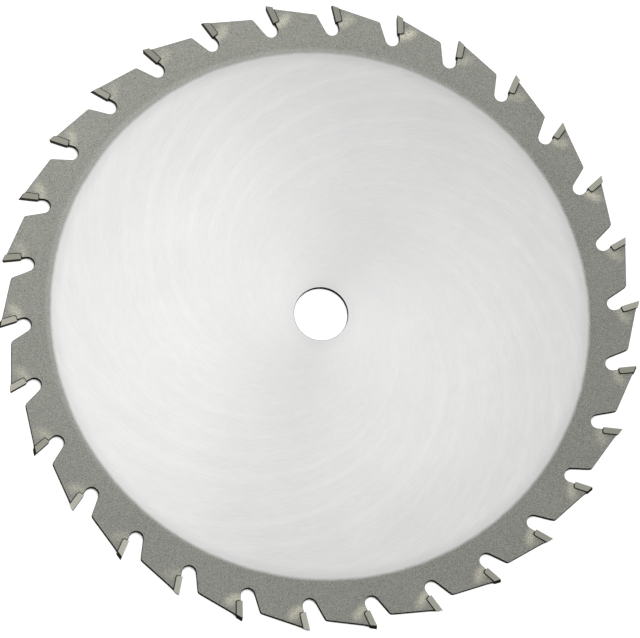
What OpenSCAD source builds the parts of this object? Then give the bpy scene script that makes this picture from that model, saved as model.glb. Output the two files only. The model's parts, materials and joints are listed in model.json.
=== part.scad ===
// Circular saw blade with brazed carbide teeth.
// The origin is the centre of the bore at half the plate's thickness, and Z is the arbor axis.
// Every tooth is drawn at the top of the blade, with its cutting point on the Y axis and its
// cutting face towards -X, and is then turned into its place. Tooth 1 stands on the X axis.

/* [Blade] */
// Diameter of the circle that the cutting points run on
blade_d = 190; // [170:1:230]
// Thickness of the steel plate
plate_t = 1.8; // [1.2:0.1:2.2]
// Diameter of the arbor bore
bore_d = 16; // [10:0.5:35]
// Number of teeth
tooth_count = 30; // [24:1:34]

/* [Teeth] */
// Hook angle, the lean of the cutting face from the radius
hook_angle = 15; // [5:1:20]
// Fall of the tooth back and of the top of the tip behind the cutting point
clearance_angle = 15.5; // [10:0.5:20]
// Depth of the gullet floor below the cutting circle
gullet_depth = 9.7; // [8.8:0.1:11.5]
// Radius of the gullet floor
gullet_r = 2.1; // [1.5:0.1:2.6]
// Lean of the gullet's rear wall from the radius
gullet_wall_angle = 31; // [22:1:38]
// Radius of the corner between the tooth back and the gullet
heel_r = 1; // [0.3:0.1:2]

/* [Carbide tips] */
// Width of the cut, across the widest part of a tip
kerf = 2.8; // [2.3:0.1:3.6]
// Length of a tip along its cutting face
tip_length = 5.7; // [4:0.1:6.4]
// Thickness of a tip behind its cutting face
tip_thickness = 1.75; // [1.2:0.05:2.5]
// Radius of the tip's corner in the bottom of its seat
tip_corner_r = 0.6; // [0.2:0.1:1]
// Height of the cutting point above the line of the tooth back
tip_rise = 0.5; // [0.3:0.05:1]
// Reach of the cutting face ahead of the gullet's front wall
tip_overhang = 0.5; // [0.2:0.05:0.9]
// Bevel across the top of a tip, left and right on alternate teeth
bevel_angle = 10; // [5:1:15]
// Narrowing of a tip towards the bore, on each side
radial_clearance = 1; // [0.5:0.25:2]
// Narrowing of a tip towards its back, on each side
side_clearance = 3; // [1:0.5:4]

/* [Brazing] */
// Thickness of the braze between a tip and its seat
braze_gap = 0.15; // [0.05:0.01:0.3]

/* [Hidden] */
$fn = 96;
function tip_name(i) = str("carbide_tip_", i < 10 ? "0" : "", i);

steel_colour = [0.80, 0.80, 0.79];
carbide_colour = [0.56, 0.56, 0.53];
braze_colour = [0.30, 0.28, 0.23];

blade_r = blade_d / 2;
pitch_angle = 360 / tooth_count;
// Length by which cutting shapes run past what they cut
spare = tip_length;
// Depth by which a straight wall runs into the round that it is tangent to
blend = 0.001;

// The unit vector at an angle from the X axis
function heading(angle) = [cos(angle), sin(angle)];
// The point where two lines meet, each given by a point and a heading
function meeting(p, p_heading, q, q_heading) =
    p + p_heading * (cross(q - p, q_heading) / cross(p_heading, q_heading));

// Gullet ahead of the tooth: a straight front wall, a round floor and a straight rear wall
out_front = heading(90 + hook_angle);
out_rear = heading(90 + gullet_wall_angle);
front_normal = heading(hook_angle);
rear_normal = heading(180 + gullet_wall_angle);
front_wall_foot = [tip_overhang / cos(hook_angle), blade_r];
floor_y = blade_r - gullet_depth + gullet_r;
floor_centre = meeting(
    front_wall_foot - gullet_r * front_normal, out_front,
    [0, floor_y], heading(0)
);
front_tangent = floor_centre + (gullet_r - blend) * front_normal;
rear_tangent = floor_centre + (gullet_r - blend) * rear_normal;

// Back of the tooth ahead, which falls towards this gullet
ahead_back_angle = pitch_angle - clearance_angle;
ahead_out = heading(90 + pitch_angle);
ahead_back_start = (blade_r - tip_rise) * ahead_out;
heel = meeting(ahead_back_start, heading(ahead_back_angle), rear_tangent, out_rear);

// Rounded heel, tangent to the tooth back and to the rear wall
heel_half_angle = (90 + gullet_wall_angle - ahead_back_angle) / 2;
heel_run = heel_r / tan(heel_half_angle);
heel_on_back = heel - heel_run * heading(ahead_back_angle);
heel_on_wall = heel - heel_run * out_rear;
heel_centre = heel_on_wall + heel_r * rear_normal;

// Top of a tip in its own frame, where the cutting face lies on the Y axis
tip_top_angle = -(hook_angle + clearance_angle);

// Turns what is drawn at the top of the blade to the place of tooth i
module at_tooth(i) {
    rotate(pitch_angle * (i - 1) - 90) children();
}

// Frame of a tip: origin at the cutting point, -Y down the cutting face, X into the tooth
module at_cutting_face() {
    translate([0, blade_r]) rotate(hook_angle) children();
}

// Outline of a tip grown by a margin at its back and foot, open at the top
module tip_outline(margin, front) {
    back = tip_thickness + margin;
    foot = -tip_length - margin;
    corner_r = tip_corner_r + margin;
    difference() {
        translate([front, foot]) square([back - front, spare - foot]);
        difference() {
            translate([back - corner_r, foot]) square(corner_r);
            translate([back - corner_r, foot + corner_r]) circle(corner_r);
        }
    }
}

// Seat cut into the front of a tooth for its tip and braze
module tip_seat() {
    at_cutting_face() tip_outline(braze_gap, 0);
}

// Open space between a tooth and the one ahead of it, up to the seat of its own tip
module tooth_space() {
    polygon([
        front_tangent,
        front_wall_foot + spare * out_front,
        ahead_back_start + spare * ahead_out,
        ahead_back_start,
        heel,
        rear_tangent
    ]);
    translate(floor_centre) circle(gullet_r);
}

// Stock outside the rounded heel of the tooth ahead
module heel_corner() {
    translate(heel_centre) {
        difference() {
            polygon([
                [0, 0],
                2 * (heel_on_back - heel_centre),
                2 * (heel - heel_centre),
                2 * (heel_on_wall - heel_centre)
            ]);
            circle(heel_r + blend);
        }
    }
}

// Flat outline of the plate, with its bore, gullets and seats
module plate_outline() {
    difference() {
        circle(blade_r);
        circle(d = bore_d);
        for (i = [1 : tooth_count]) {
            at_tooth(i) {
                tooth_space();
                heel_corner();
                tip_seat();
            }
        }
    }
}

// Steel plate, cut from one sheet
module blade_plate() {
    color(steel_colour) linear_extrude(plate_t, center = true) plate_outline();
}

// Stock beyond one ground side of a tip, tapering towards its foot and its back
module side_grind() {
    translate([0, 0, kerf / 2])
        rotate([radial_clearance, side_clearance, 0])
            translate([-spare, -2 * spare, 0])
                cube([3 * spare, 3 * spare, kerf]);
}

// Stock above the ground top of a tip, highest at its +Z side
module top_grind() {
    translate([0, 0, kerf / 2])
        rotate([0, 0, tip_top_angle])
            rotate([-bevel_angle, 0, 0])
                translate([-spare, 0, -3 * kerf])
                    cube([3 * spare, 3 * spare, 6 * kerf]);
}

// One carbide tip in the frame of its cutting face
module tip_solid() {
    difference() {
        linear_extrude(2 * kerf, center = true) tip_outline(0, 0);
        side_grind();
        mirror([0, 0, 1]) side_grind();
        top_grind();
    }
}

// Carbide tip of tooth i, with its high corner up on odd teeth and down on even ones
module carbide_tip(i) {
    color(carbide_colour) at_tooth(i) at_cutting_face() {
        if (i % 2 == 1) tip_solid();
        else mirror([0, 0, 1]) tip_solid();
    }
}

// Braze behind and below one tip, flush with the tooth back and the gullet
module braze_outline() {
    difference() {
        intersection() {
            circle(blade_r);
            tip_seat();
        }
        at_cutting_face() tip_outline(0, -spare);
        tooth_space();
        rotate(-pitch_angle) tooth_space();
    }
}

// Braze of all teeth, one thin bent layer in each seat
module braze_seams() {
    color(braze_colour)
        linear_extrude(plate_t, center = true)
            for (i = [1 : tooth_count]) at_tooth(i) braze_outline();
}

blade_plate();
for (i = [1 : tooth_count]) {
    carbide_tip(i);
}
braze_seams();
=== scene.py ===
"""Finish, light and camera for a circular saw blade with brazed carbide teeth."""
import json
import math

import bpy
from mathutils import Matrix, Vector


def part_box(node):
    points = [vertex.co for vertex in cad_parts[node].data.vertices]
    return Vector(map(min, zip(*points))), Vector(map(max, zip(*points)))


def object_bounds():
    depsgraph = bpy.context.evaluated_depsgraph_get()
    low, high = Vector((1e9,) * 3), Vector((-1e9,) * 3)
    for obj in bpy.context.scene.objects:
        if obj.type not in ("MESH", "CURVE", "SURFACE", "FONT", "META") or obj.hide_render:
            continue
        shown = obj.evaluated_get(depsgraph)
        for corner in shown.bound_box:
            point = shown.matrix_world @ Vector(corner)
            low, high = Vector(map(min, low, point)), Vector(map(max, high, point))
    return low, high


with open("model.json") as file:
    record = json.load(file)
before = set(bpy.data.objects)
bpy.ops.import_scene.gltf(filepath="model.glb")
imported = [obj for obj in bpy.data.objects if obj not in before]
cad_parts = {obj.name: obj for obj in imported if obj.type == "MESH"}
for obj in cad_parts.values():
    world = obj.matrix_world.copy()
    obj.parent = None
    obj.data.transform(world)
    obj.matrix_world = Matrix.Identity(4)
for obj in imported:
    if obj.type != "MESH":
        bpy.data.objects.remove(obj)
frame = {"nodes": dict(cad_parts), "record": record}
cad_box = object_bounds()

# Lengths are in millimetres and noise scales in patterns to a millimetre, unless a heading says otherwise
MM = 0.001

# The blade in its own frame: origin in the bore, Z along the arbor
PLATE_NODE = "blade_plate"
BRAZE_NODE = "braze_seams"
TIP_NODES = sorted(name for name in frame["nodes"] if name.startswith("carbide_tip"))
PITCH = 2 * math.pi / len(TIP_NODES)
BLADE_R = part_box(TIP_NODES[0])[1].x / MM
BORE_R = next(mount["dims"]["r_mm"] for mount in frame["record"]["mounts"] if mount["kind"] == "bore")

# A tooth in its own frame: origin at the cutting point, X back along the rim
HOOK = math.radians(15)
SEAT_THICKNESS = 1.9
SEAT_LENGTH = 5.85

# Edges, broken by a small round once the faces are cleaned up
PLATE_EDGE = 0.15
TIP_EDGE = 0.03
BRAZE_EDGE = 0.02
EDGE_SEGMENTS = 2
SHARP_ANGLE = math.radians(40)
FLAT_ANGLE = math.radians(0.5)
WELD_GAP = 0.001

# Upright part of the normal: a broken edge below the first value, a flat face above the second; below it,
# walls, broken edges and the ends of the tips are painted dark as shade
FLAT_LEVEL = (0.90, 0.995)

# Ground disc inside a blasted rim, with a faint second edge to one side
DISC_R = 79.7
DISC_EDGE = 0.7
OVERSPRAY_R = 80.4
OVERSPRAY_SHIFT = (-0.7, 0.75)
OVERSPRAY_SHARE = 0.16
EDGE_WOBBLE = 0.5
EDGE_WOBBLE_SCALE = 0.25

# Brightness of the disc from a radius out to its edge, in a band at the edge, and round the bore
DIM_FROM_R = 40.0
DIM_LEVEL = 0.93
EDGE_BAND = 4.0
EDGE_LEVEL = 0.88
BORE_BAND = 4.0
BORE_LEVEL = 0.95

# Grinding marks: radial run for a turn of one radian, and the radius below which they turn faster
SWIRL_RUN = 29.5
SWIRL_TURN_R = 25.0

# Kinds of mark: how finely they divide the disc around, and their radial length
LONG_MARKS = (9.0, 12.0)
SHORT_MARKS = (45.0, 1.2)
FINE_MARKS = (120.0, 1.5)

# Pale arcs along the marks: their number, crest of the wave, patches of strength, and where they fade in
RIPPLE_COUNT = 21
RIPPLE_CREST = (0.4, 1.0)
RIPPLE_PATCHES = (2.0, 25.0)
RIPPLE_PATCH_NOISE = (-0.2, 0.2)
RIPPLE_LEAST = 0.35
RIPPLE_FADE_R = (20.0, 50.0)

# Heat mark below each tip: a ring about a point of the tooth, seen in one direction from there; its strength
# from tooth to tooth is partly painted light, the seed putting the strong marks where the light brightens
# them
HALO_BEHIND = 2.0
HALO_DEPTH = 2.0
HALO_RISE = (1.2, 4.4)
HALO_FALL = (6.5, 3.9)
HALO_TOWARDS = (0.44, 0.90)
HALO_SPREAD = (0.45, 1.0)
HALO_STRENGTH = (0.19, 0.74)
HALO_SEED = 853

# Dark line along each seat, braze stain and painted shade of the proud tip: distances outside the seat, and
# before the face of the tip
SEAT_LINE = (0.25, 0.05)
SEAT_LINE_FRONT = (-1.0, -0.5)
SEAT_LINE_SHARE = 0.35

# Patterns: octaves of noise, the middle of its values, and scales
PLAIN_DETAIL = 1.0
FINE_DETAIL = 3.0
NOISE_MIDDLE = 0.5
CLOUD_SCALE = 0.06
SPECKLE_SCALE = 3.6
SCATTER_SCALE = 4.0
WALL_SCALES = (5.0, 5.0, 0.6)
TIP_LINE_SCALE = 9.0
TIP_LINE_STRETCH = 0.1
TIP_GRAIN_SCALE = 4.0
BRAZE_GRAIN_SCALE = 3.0

# Contrast of each pattern, as a share of the colour
LONG_CONTRAST = 0.05
SHORT_CONTRAST = 0.12
FINE_CONTRAST = 0.10
RIPPLE_CONTRAST = 0.028
DISC_CLOUD_CONTRAST = 0.08
RIM_CLOUD_CONTRAST = 0.15
SPECKLE_CONTRAST = 2.2
WALL_CONTRAST = 1.6
TIP_LINE_CONTRAST = 0.55
TIP_GRAIN_CONTRAST = 0.25
BRAZE_CONTRAST = 1.2

# Tips: depth over which the face gives way to the back, both painted dark as shade, and the brightness from
# tooth to tooth, partly random tone and partly a painted highlight on the tips where the light catches them
TIP_FACE_DEPTH = (0.1, 0.3)
TIP_TONE_AND_PAINTED_LIGHT = (0.74, 1.10)
TIP_SEED = 844

# Roughness: its middle and how far a pattern swings it
DISC_ROUGHNESS = (0.36, 0.10)
RIM_ROUGHNESS = (0.58, 0.20)
TIP_ROUGHNESS = (0.45, 0.15)
BRAZE_ROUGHNESS = (0.42, 0.30)

# Depth of relief
PLATE_RELIEF = 0.03
DISC_RELIEF_SHARE = 0.10
TIP_RELIEF = 0.006
BRAZE_RELIEF = 0.03

# Other settings of the shaders, from 0 to 1
RIM_METAL = 0.5
PLATE_ANISOTROPY = 0.7
TIP_ANISOTROPY = 0.6
NO_GLOSS = 0.0

# Colours in linear light
DISC_STEEL = (0.80, 0.796, 0.792)
RIM_STEEL = (0.266, 0.268, 0.241)
HALO_STEEL = (0.614, 0.598, 0.487)
# Cut steel: its own dark oxide, darkened to near black as painted shade
SHADED_CUT_STEEL = (0.012, 0.011, 0.009)
CARBIDE_SIDE = (0.404, 0.397, 0.342)
# Face and back of the tips: carbide painted dark as shade
SHADED_CARBIDE_FACE = (0.036, 0.034, 0.030)
SHADED_CARBIDE_BACK = (0.014, 0.013, 0.011)
# Braze: its own dark colour, darkened further as painted shade
BRAZE_WITH_PAINTED_SHADE = (0.040, 0.036, 0.029)
FLOOR_GREY = (0.1, 0.1, 0.1)
WHITE = (1.0, 1.0, 1.0)

# Floor: height and half width in metres, and the light that it gives off
FLOOR_Z = cad_box[0].z
FLOOR_HALF = 8.0
FLOOR_ROUGHNESS = 0.9
FLOOR_GLOW = 1.08

# Painted shadow in the gap under the blade: reach, number of rays, and the open share at which it ends
GAP_REACH = 2.0
GAP_RAYS = 16
GAP_OPEN = (0.38, 0.56)

# Sky: upright part of the direction, and the strength at its two values
SKY_HEIGHT = (0.2, 0.95)
SKY_STRENGTH = (0.4, 0.87)

# Camera: picture width in pixels, angles in degrees
IMAGE_WIDTH = 640
PIXELS_PER_MM = 3.403
CAMERA_TILT = 15.5
CAMERA_AZIMUTH = 240.0
CAMERA_DISTANCE = 20 * BLADE_R
IMAGE_UP_AZIMUTH = 85.92
AIM_RIGHT = -0.21
AIM_UP = -1.32
SENSOR_WIDTH = 36.0


class Graph:
    """A node tree with short calls; each call adds nodes and returns an output."""

    # Places of the colour sockets on a mix node
    COLOUR_FIRST = 6
    COLOUR_SECOND = 7
    COLOUR_MIXED = 2

    def __init__(self, tree):
        self.tree = tree
        self.tree.nodes.clear()

    def node(self, kind, inputs=(), **settings):
        """Adds one node, with its settings and its inputs by name or place, and returns the node."""
        made = self.tree.nodes.new(kind)
        for name, value in settings.items():
            setattr(made, name, value)
        for socket, value in dict(inputs).items():
            self.feed(made.inputs[socket], value)
        return made

    def feed(self, socket, value):
        """Links an output to a socket, or sets the socket's own value."""
        if isinstance(value, bpy.types.NodeSocket):
            self.tree.links.new(value, socket)
        elif socket.type == "RGBA" and len(value) == 3:
            socket.default_value = (*value, 1.0)
        else:
            socket.default_value = value

    def math(self, operation, *values):
        return self.node("ShaderNodeMath", enumerate(values), operation=operation).outputs[0]

    def vector(self, operation, *values):
        made = self.node("ShaderNodeVectorMath", enumerate(values), operation=operation)
        return made.outputs["Value" if operation == "LENGTH" else "Vector"]

    def scaled(self, vector, factor):
        made = self.node("ShaderNodeVectorMath", {0: vector, "Scale": factor}, operation="SCALE")
        return made.outputs["Vector"]

    def join(self, x, y, z):
        return self.node("ShaderNodeCombineXYZ", {0: x, 1: y, 2: z}).outputs[0]

    def split(self, vector):
        return self.node("ShaderNodeSeparateXYZ", {0: vector}).outputs

    def sum(self, *values):
        total = values[0]
        for value in values[1:]:
            total = self.math("ADD", total, value)
        return total

    def product(self, *values):
        total = values[0]
        for value in values[1:]:
            total = self.math("MULTIPLY", total, value)
        return total

    def swung(self, pattern, middle, swing):
        """A value that a pattern swings about its middle."""
        return self.sum(middle, self.product(pattern, swing))

    def ramp(self, value, start, end, low=0.0, high=1.0):
        """A smooth step from low to high while the value goes from start to end."""
        inputs = {"Value": value, "From Min": start, "From Max": end, "To Min": low, "To Max": high}
        return self.node("ShaderNodeMapRange", inputs, interpolation_type="SMOOTHSTEP").outputs[0]

    def mix(self, factor, first, second):
        """A colour or a vector that goes from the first to the second with the factor."""
        inputs = {0: factor, self.COLOUR_FIRST: first, self.COLOUR_SECOND: second}
        return self.node("ShaderNodeMix", inputs, data_type="RGBA").outputs[self.COLOUR_MIXED]

    def noise(self, vector, scale=1.0, detail=2.0):
        """Smooth noise about zero, with about that scale of patterns to a unit of length."""
        inputs = {"Vector": vector, "Scale": scale, "Detail": detail}
        made = self.node("ShaderNodeTexNoise", inputs, noise_dimensions="3D")
        return self.math("SUBTRACT", made.outputs[0], NOISE_MIDDLE)


class Surface(Graph):
    """A material whose patterns are drawn in millimetres in the frame of the blade."""

    def __init__(self, name):
        self.material = bpy.data.materials.new(name)
        self.material.use_nodes = True
        super().__init__(self.material.node_tree)
        coordinates = self.node("ShaderNodeTexCoord")
        self.place = self.scaled(coordinates.outputs["Object"], 1 / MM)
        self.x, self.y, self.z = self.split(self.place)
        self.radius = self.vector("LENGTH", self.join(self.x, self.y, 0.0))
        self.angle = self.math("ARCTAN2", self.y, self.x)
        level = self.math("ABSOLUTE", self.split(coordinates.outputs["Normal"])[2])
        self.flat = self.ramp(level, *FLAT_LEVEL)

    def tooth_number(self):
        """The number of the nearest tooth, counted from the X axis."""
        return self.math("ROUND", self.math("DIVIDE", self.angle, PITCH))

    def tooth_place(self):
        """Distance behind the cutting point of the nearest tooth, and height above that point."""
        turn = self.math("SUBTRACT", self.angle, self.math("MULTIPLY", self.tooth_number(), PITCH))
        behind = self.product(self.radius, self.math("SINE", turn), -1.0)
        height = self.math("SUBTRACT", self.product(self.radius, self.math("COSINE", turn)), BLADE_R)
        return behind, height

    def tip_place(self):
        """The same place along the thickness and the length of the tip, which leans by the hook."""
        behind, height = self.tooth_place()
        into = self.sum(self.product(behind, math.cos(HOOK)), self.product(height, math.sin(HOOK)))
        along = self.sum(self.product(height, math.cos(HOOK)), self.product(behind, -math.sin(HOOK)))
        return into, along

    def tooth_chance(self, low, high, seed):
        """A fixed random number for each tooth."""
        inputs = {"W": self.math("ADD", self.tooth_number(), seed)}
        made = self.node("ShaderNodeTexWhiteNoise", inputs, noise_dimensions="1D")
        return self.math("MULTIPLY_ADD", made.outputs["Value"], high - low, low)

    def finish(self, colour, roughness, metallic, relief, depth, **others):
        """Closes the material with its shader, with a relief of that depth."""
        bump = self.node("ShaderNodeBump", {"Height": relief, "Distance": depth * MM, "Strength": 1.0})
        inputs = {"Base Color": colour, "Roughness": roughness, "Metallic": metallic,
                  "Normal": bump.outputs[0], "Specular IOR Level": NO_GLOSS, **others}
        shader = self.node("ShaderNodeBsdfPrincipled", inputs)
        self.node("ShaderNodeOutputMaterial", {"Surface": shader.outputs[0]})
        return self.material


def swirl_slope(surface):
    """How fast the grinding marks turn with the radius, in radians per millimetre."""
    inverse_square = surface.math("POWER", surface.radius, -2.0)
    return surface.math("MULTIPLY_ADD", inverse_square, SWIRL_TURN_R ** 2 / SWIRL_RUN, 1 / SWIRL_RUN)


def swirl_phase(surface):
    """An angle that stays the same along each grinding mark."""
    inner = surface.math("DIVIDE", SWIRL_TURN_R ** 2, surface.radius)
    turn = surface.math("DIVIDE", surface.math("SUBTRACT", surface.radius, inner), SWIRL_RUN)
    return surface.math("ADD", surface.angle, turn)


def swirl_place(surface, count, run):
    """A place for noise that is drawn out along the grinding marks."""
    phase = swirl_phase(surface)
    return surface.join(
        surface.product(surface.math("COSINE", phase), count),
        surface.product(surface.math("SINE", phase), count),
        surface.product(surface.radius, 1 / run),
    )


def ripple(surface):
    """Thin pale arcs at even steps, stronger in some places than in others."""
    wave = surface.math("COSINE", surface.product(swirl_phase(surface), RIPPLE_COUNT))
    patches = surface.noise(swirl_place(surface, *RIPPLE_PATCHES), detail=PLAIN_DETAIL)
    return surface.product(
        surface.ramp(wave, *RIPPLE_CREST),
        surface.ramp(patches, *RIPPLE_PATCH_NOISE, RIPPLE_LEAST, 1.0),
        surface.ramp(surface.radius, *RIPPLE_FADE_R),
    )


def across_swirl(surface):
    """The direction across the grinding marks, along which a reflection spreads."""
    outward = surface.math("DIVIDE", swirl_slope(surface), surface.radius)
    around = surface.math("POWER", surface.radius, -2.0)
    tangent_x = surface.math("SUBTRACT", surface.product(surface.x, outward),
                             surface.product(surface.y, around))
    tangent_y = surface.math("ADD", surface.product(surface.y, outward),
                             surface.product(surface.x, around))
    return surface.vector("NORMALIZE", surface.join(tangent_x, tangent_y, 0.0))


def any_way(surface):
    """A direction that changes from grain to grain, along which the rim spreads a reflection."""
    inputs = {"Vector": surface.place, "Scale": SCATTER_SCALE}
    colours = surface.node("ShaderNodeTexNoise", inputs).outputs["Color"]
    return surface.vector("SUBTRACT", colours, (NOISE_MIDDLE, NOISE_MIDDLE, NOISE_MIDDLE))


def halo(surface):
    """Pale heat mark left on the rim below the seat of each tip, with painted light in how strong it is from
    tooth to tooth.
    """
    behind, height = surface.tooth_place()
    away = surface.math("SUBTRACT", behind, HALO_BEHIND)
    down = surface.math("SUBTRACT", surface.math("MULTIPLY", height, -1.0), HALO_DEPTH)
    distance = surface.vector("LENGTH", surface.join(away, down, 0.0))
    ring = surface.product(surface.ramp(distance, *HALO_RISE), surface.ramp(distance, *HALO_FALL))
    side = surface.sum(surface.product(away, HALO_TOWARDS[0]), surface.product(down, HALO_TOWARDS[1]))
    towards = surface.ramp(surface.math("DIVIDE", side, distance), *HALO_SPREAD)
    # Painted light: the seed makes the marks strong on the teeth where the light brightens them
    return surface.product(ring, towards, surface.tooth_chance(*HALO_STRENGTH, HALO_SEED))


def seat_stain_and_shade(surface):
    """Dark line on the plate along the seat of each tip: partly braze stain, partly painted shade where the
    tip stands proud.
    """
    into, along = surface.tip_place()
    back = surface.math("SUBTRACT", into, SEAT_THICKNESS)
    foot = surface.math("SUBTRACT", surface.math("MULTIPLY", along, -1.0), SEAT_LENGTH)
    outside = surface.math("MAXIMUM", back, foot)
    return surface.product(surface.ramp(outside, *SEAT_LINE), surface.ramp(into, *SEAT_LINE_FRONT))


def disc_share(surface):
    """1 on the ground disc and 0 on the rim, with the faint second edge."""
    unevenness = surface.noise(surface.place, EDGE_WOBBLE_SCALE, FINE_DETAIL)
    wobble = surface.product(unevenness, EDGE_WOBBLE)
    main = surface.ramp(surface.math("ADD", surface.radius, wobble),
                        DISC_R + DISC_EDGE, DISC_R - DISC_EDGE)
    shifted = surface.vector("SUBTRACT", surface.join(surface.x, surface.y, 0.0), (*OVERSPRAY_SHIFT, 0.0))
    second = surface.ramp(surface.math("ADD", surface.vector("LENGTH", shifted), wobble),
                          OVERSPRAY_R + DISC_EDGE, OVERSPRAY_R - DISC_EDGE, 0.0, OVERSPRAY_SHARE)
    return surface.math("MAXIMUM", main, second)


def disc_colour(surface, fine_marks, clouds):
    """Bright steel with grinding marks, darker towards the edge and round the bore."""
    long_marks = surface.noise(swirl_place(surface, *LONG_MARKS))
    short_marks = surface.noise(swirl_place(surface, *SHORT_MARKS))
    texture = surface.sum(
        1.0,
        surface.product(long_marks, LONG_CONTRAST),
        surface.product(short_marks, SHORT_CONTRAST),
        surface.product(fine_marks, FINE_CONTRAST),
        surface.product(clouds, DISC_CLOUD_CONTRAST),
        surface.product(ripple(surface), RIPPLE_CONTRAST),
    )
    outwards = surface.ramp(surface.radius, DIM_FROM_R, DISC_R, 1.0, DIM_LEVEL)
    at_edge = surface.ramp(surface.radius, DISC_R - EDGE_BAND, DISC_R, 1.0, EDGE_LEVEL)
    at_bore = surface.ramp(surface.radius, BORE_R, BORE_R + BORE_BAND, BORE_LEVEL, 1.0)
    return surface.scaled(DISC_STEEL, surface.product(texture, outwards, at_edge, at_bore))


def rim_colour(surface, speckle, clouds):
    """Grey blasted steel, with a heat mark, partly painted light, and a dark seat line, partly braze stain
    and partly painted shade, on each tooth.
    """
    grain = surface.sum(1.0, surface.product(speckle, SPECKLE_CONTRAST),
                        surface.product(clouds, RIM_CLOUD_CONTRAST))
    steel = surface.scaled(surface.mix(halo(surface), RIM_STEEL, HALO_STEEL), grain)
    # Painted shade with braze stain: a dark line along the seat beside each proud tip
    return surface.mix(surface.product(seat_stain_and_shade(surface), SEAT_LINE_SHARE), steel, SHADED_CUT_STEEL)


def shaded_wall_colour(surface):
    """Cut steel with striations that run through the plate's thickness: its own dark oxide, painted near
    black as shade.
    """
    drawn_out = surface.vector("MULTIPLY", surface.place, WALL_SCALES)
    striations = surface.noise(drawn_out, detail=FINE_DETAIL)
    return surface.scaled(SHADED_CUT_STEEL, surface.swung(striations, 1.0, WALL_CONTRAST))


def plate_material():
    """Steel plate: a ground disc, a blasted rim, and cut walls and broken edges painted dark as shade."""
    surface = Surface("plate_steel_finish")
    fine_marks = surface.noise(swirl_place(surface, *FINE_MARKS))
    clouds = surface.noise(surface.place, CLOUD_SCALE)
    speckle = surface.noise(surface.place, SPECKLE_SCALE, FINE_DETAIL)
    disc = disc_share(surface)
    rim = surface.math("SUBTRACT", 1.0, disc)
    face = surface.mix(disc, rim_colour(surface, speckle, clouds), disc_colour(surface, fine_marks, clouds))
    # Painted shade: walls and broken edges get near-black cut steel in place of the lit finish
    colour = surface.mix(surface.flat, shaded_wall_colour(surface), face)
    roughness = surface.sum(
        surface.product(disc, surface.swung(fine_marks, *DISC_ROUGHNESS)),
        surface.product(rim, surface.swung(speckle, *RIM_ROUGHNESS)),
    )
    metallic = surface.product(surface.flat, surface.swung(disc, RIM_METAL, 1.0 - RIM_METAL))
    relief = surface.sum(surface.product(disc, fine_marks, DISC_RELIEF_SHARE), surface.product(rim, speckle))
    tangent = surface.mix(disc, any_way(surface), across_swirl(surface))
    return surface.finish(colour, roughness, metallic, relief, PLATE_RELIEF,
                          Anisotropic=PLATE_ANISOTROPY, Tangent=tangent)


def carbide_material():
    """Carbide tips: pale ground sides with lines along them and a painted highlight that changes from tooth
    to tooth, and a face and a back painted dark as shade.
    """
    surface = Surface("carbide_finish")
    into, along = surface.tip_place()
    drawn_out = surface.join(into, surface.product(along, TIP_LINE_STRETCH), surface.z)
    lines = surface.noise(drawn_out, TIP_LINE_SCALE, FINE_DETAIL)
    grain = surface.noise(surface.place, TIP_GRAIN_SCALE, FINE_DETAIL)
    texture = surface.sum(1.0, surface.product(lines, TIP_LINE_CONTRAST),
                          surface.product(grain, TIP_GRAIN_CONTRAST))
    # Painted highlight: the seed brightens the sides of the tips where the light catches them
    side = surface.scaled(CARBIDE_SIDE, surface.tooth_chance(*TIP_TONE_AND_PAINTED_LIGHT, TIP_SEED))
    # Painted shade: the face and the back of each tip are dark
    ends = surface.mix(surface.ramp(into, *TIP_FACE_DEPTH), SHADED_CARBIDE_FACE, SHADED_CARBIDE_BACK)
    colour = surface.scaled(surface.mix(surface.flat, ends, side), texture)
    roughness = surface.swung(grain, *TIP_ROUGHNESS)
    outward = surface.vector("NORMALIZE", surface.join(surface.x, surface.y, 0.0))
    return surface.finish(colour, roughness, surface.flat, lines, TIP_RELIEF,
                          Anisotropic=TIP_ANISOTROPY, Tangent=outward)


def braze_material():
    """Braze: dark, dull and uneven; dark partly by its own colour and partly by painted shade beside the
    tips.
    """
    surface = Surface("braze_finish")
    grain = surface.noise(surface.place, BRAZE_GRAIN_SCALE, FINE_DETAIL)
    colour = surface.scaled(BRAZE_WITH_PAINTED_SHADE, surface.swung(grain, 1.0, BRAZE_CONTRAST))
    roughness = surface.swung(grain, *BRAZE_ROUGHNESS)
    return surface.finish(colour, roughness, surface.flat, grain, BRAZE_RELIEF)


def dress(names, material, edge):
    """Gives nodes their finish and breaks their sharp edges by a round of that width."""
    for name in names:
        piece = frame["nodes"][name]
        piece.data.materials.clear()
        piece.data.materials.append(material)
        weld = piece.modifiers.new("weld", "WELD")
        weld.merge_threshold = WELD_GAP * MM
        flatten = piece.modifiers.new("flatten", "DECIMATE")
        flatten.decimate_type = "DISSOLVE"
        flatten.angle_limit = FLAT_ANGLE
        broken = piece.modifiers.new("broken edges", "BEVEL")
        broken.width = edge * MM
        broken.segments = EDGE_SEGMENTS
        broken.limit_method = "ANGLE"
        broken.angle_limit = SHARP_ANGLE
        broken.harden_normals = True


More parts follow.
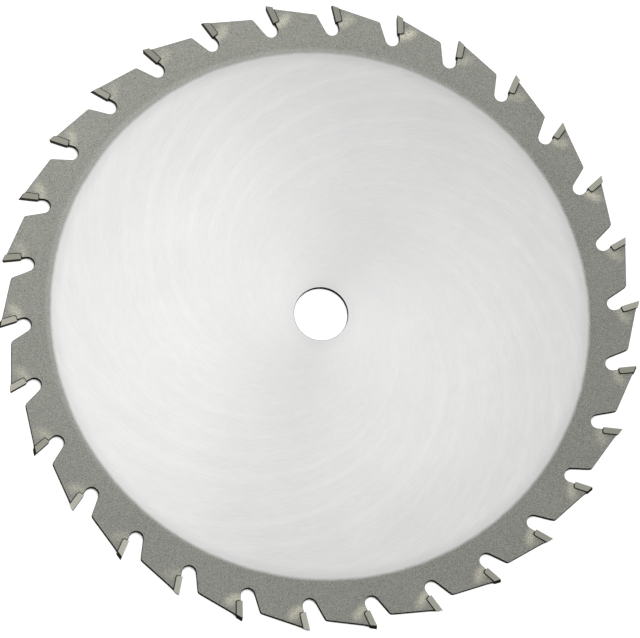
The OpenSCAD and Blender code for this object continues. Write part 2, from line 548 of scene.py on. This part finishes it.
def add_floor():
    """A floor that is white by its own light, with a painted shadow only in the narrow gap under the blade.
    """
    corners = [
        (-FLOOR_HALF, -FLOOR_HALF, FLOOR_Z),
        (FLOOR_HALF, -FLOOR_HALF, FLOOR_Z),
        (FLOOR_HALF, FLOOR_HALF, FLOOR_Z),
        (-FLOOR_HALF, FLOOR_HALF, FLOOR_Z),
    ]
    mesh = bpy.data.meshes.new("floor")
    mesh.from_pydata(corners, [], [(0, 1, 2, 3)])
    floor = bpy.data.objects.new("floor", mesh)
    bpy.context.scene.collection.objects.link(floor)
    material = bpy.data.materials.new("floor")
    material.use_nodes = True
    graph = Graph(material.node_tree)
    # Painted shadow: the floor's own light is turned down where the blade closes it in
    gap = graph.node("ShaderNodeAmbientOcclusion", {"Distance": GAP_REACH * MM}, samples=GAP_RAYS)
    glow = graph.ramp(gap.outputs["AO"], *GAP_OPEN, 0.0, FLOOR_GLOW)
    inputs = {"Base Color": FLOOR_GREY, "Roughness": FLOOR_ROUGHNESS, "Specular IOR Level": NO_GLOSS,
              "Emission Color": WHITE, "Emission Strength": glow}
    shader = graph.node("ShaderNodeBsdfPrincipled", inputs)
    graph.node("ShaderNodeOutputMaterial", {"Surface": shader.outputs[0]})
    mesh.materials.append(material)


def add_camera():
    """The camera leans from the arbor towards its azimuth and aims close to the bore."""
    tilt = math.radians(CAMERA_TILT)
    azimuth = math.radians(CAMERA_AZIMUTH)
    turn = math.radians(IMAGE_UP_AZIMUTH)
    back = Vector((math.sin(tilt) * math.cos(azimuth), math.sin(tilt) * math.sin(azimuth), math.cos(tilt)))
    up = Vector((math.cos(turn), math.sin(turn), 0.0))
    up = (up - up.dot(back) * back).normalized()
    right = up.cross(back)
    aim = (right * AIM_RIGHT + up * AIM_UP) * MM
    data = bpy.data.cameras.new("camera")
    data.sensor_width = SENSOR_WIDTH
    data.lens = PIXELS_PER_MM * CAMERA_DISTANCE * SENSOR_WIDTH / IMAGE_WIDTH
    camera = bpy.data.objects.new("camera", data)
    camera.matrix_world = Matrix((right, up, back)).transposed().to_4x4()
    camera.location = aim + back * CAMERA_DISTANCE * MM
    bpy.context.scene.collection.objects.link(camera)
    bpy.context.scene.camera = camera


def add_sky():
    """Palest overhead and dimmer towards the horizon, for the metal to reflect from every side."""
    world = bpy.data.worlds.new("studio")
    world.use_nodes = True
    bpy.context.scene.world = world
    graph = Graph(world.node_tree)
    direction = graph.node("ShaderNodeTexCoord").outputs["Generated"]
    strength = graph.ramp(graph.split(direction)[2], *SKY_HEIGHT, *SKY_STRENGTH)
    backdrop = graph.node("ShaderNodeBackground", {"Color": WHITE, "Strength": strength})
    graph.node("ShaderNodeOutputWorld", {"Surface": backdrop.outputs[0]})


def add_softbox(name, azimuth, offset, height, size, radiance, mirrored=True):
    """A rectangular light that faces the bore: azimuth in degrees, lengths in metres.

    One that isn't mirrored lights matt surfaces only.
    """
    data = bpy.data.lights.new(name, "AREA")
    data.shape = "RECTANGLE"
    data.size, data.size_y = size
    data.energy = radiance * math.pi * data.size * data.size_y
    light = bpy.data.objects.new(name, data)
    angle = math.radians(azimuth)
    light.location = (offset * math.cos(angle), offset * math.sin(angle), height)
    light.visible_camera = False
    light.visible_glossy = mirrored
    light.rotation_mode = "QUATERNION"
    light.rotation_quaternion = light.location.to_track_quat("Z", "Y")
    bpy.context.scene.collection.objects.link(light)


dress([PLATE_NODE], plate_material(), PLATE_EDGE)
dress(TIP_NODES, carbide_material(), TIP_EDGE)
dress([BRAZE_NODE], braze_material(), BRAZE_EDGE)
add_floor()
add_camera()
add_sky()
add_softbox("key", azimuth=172.0, offset=0.22, height=0.55, size=(0.8, 0.5), radiance=0.57)
add_softbox("side", azimuth=122.0, offset=0.30, height=0.14, size=(0.7, 0.2), radiance=4.0,
            mirrored=False)
bpy.context.scene.view_settings.view_transform = "Standard"
